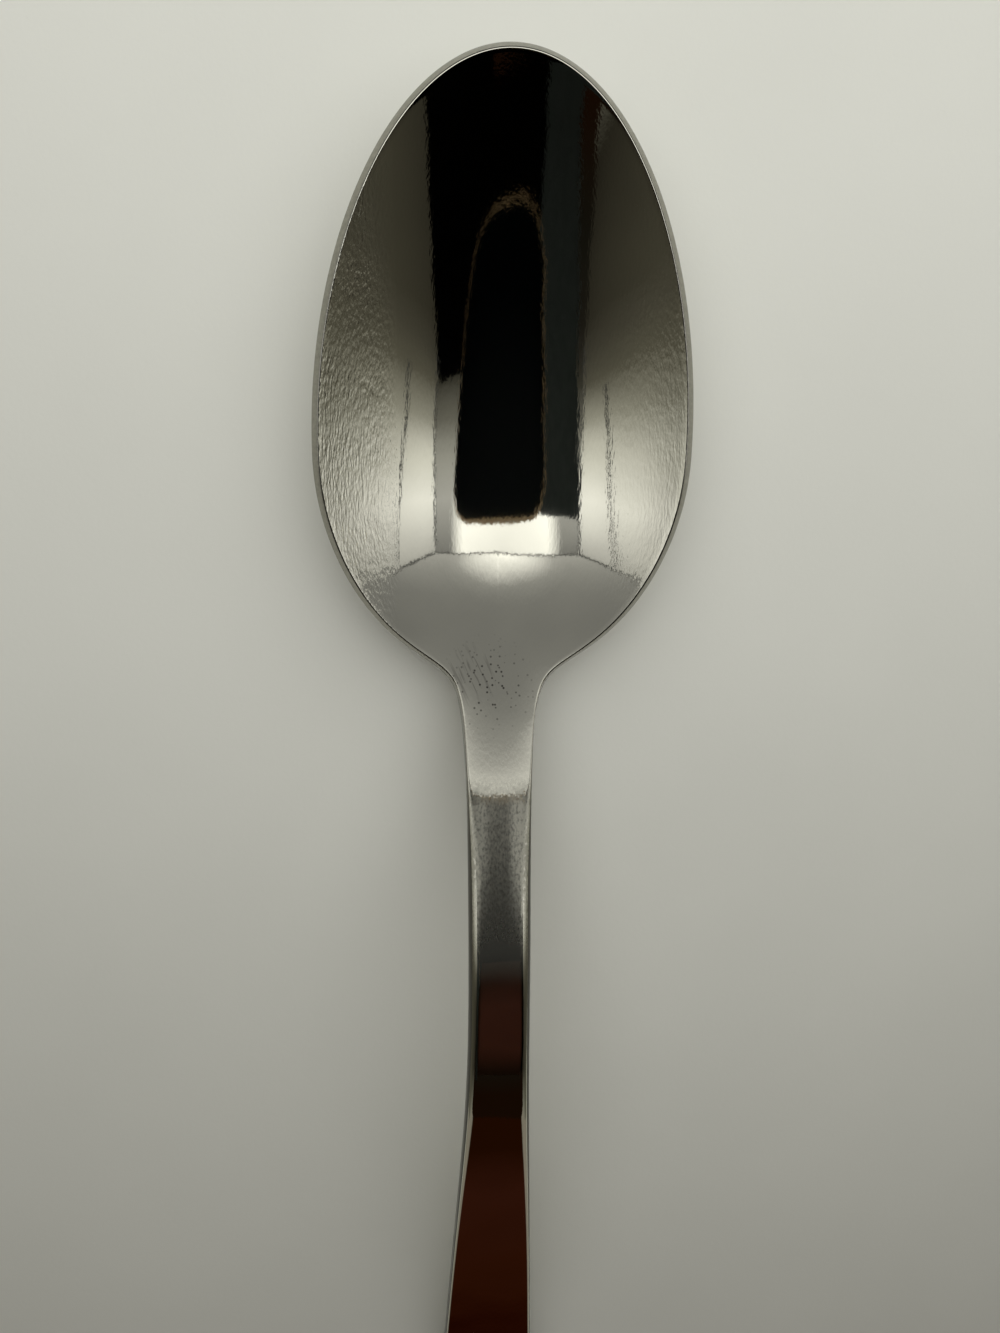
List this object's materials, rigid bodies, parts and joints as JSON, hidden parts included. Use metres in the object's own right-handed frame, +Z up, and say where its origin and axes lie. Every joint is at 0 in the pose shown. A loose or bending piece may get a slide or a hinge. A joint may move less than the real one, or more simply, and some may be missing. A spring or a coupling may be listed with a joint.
{
  "type": "teaspoon",
  "caption": "One-piece polished stainless steel teaspoon with an egg-shaped bowl, a narrow rising neck and an arched, flat handle that widens to a rounded end.",
  "frame": {"origin": "on the table plane, under the middle of the spoon's length and width, as it lies with the hollow up", "axes": "+X to the spoon's right seen from above, +Y from the handle's end to the bowl's tip, +Z up out of the hollow"},
  "size_m": [0.0314, 0.1404, 0.0152],
  "materials": {
    "polished_steel": "mirror-polished stainless steel with fine use scratches"
  },
  "bodies": {
    "root": {"spoon": "polished_steel"}
  },
  "joints": []
}
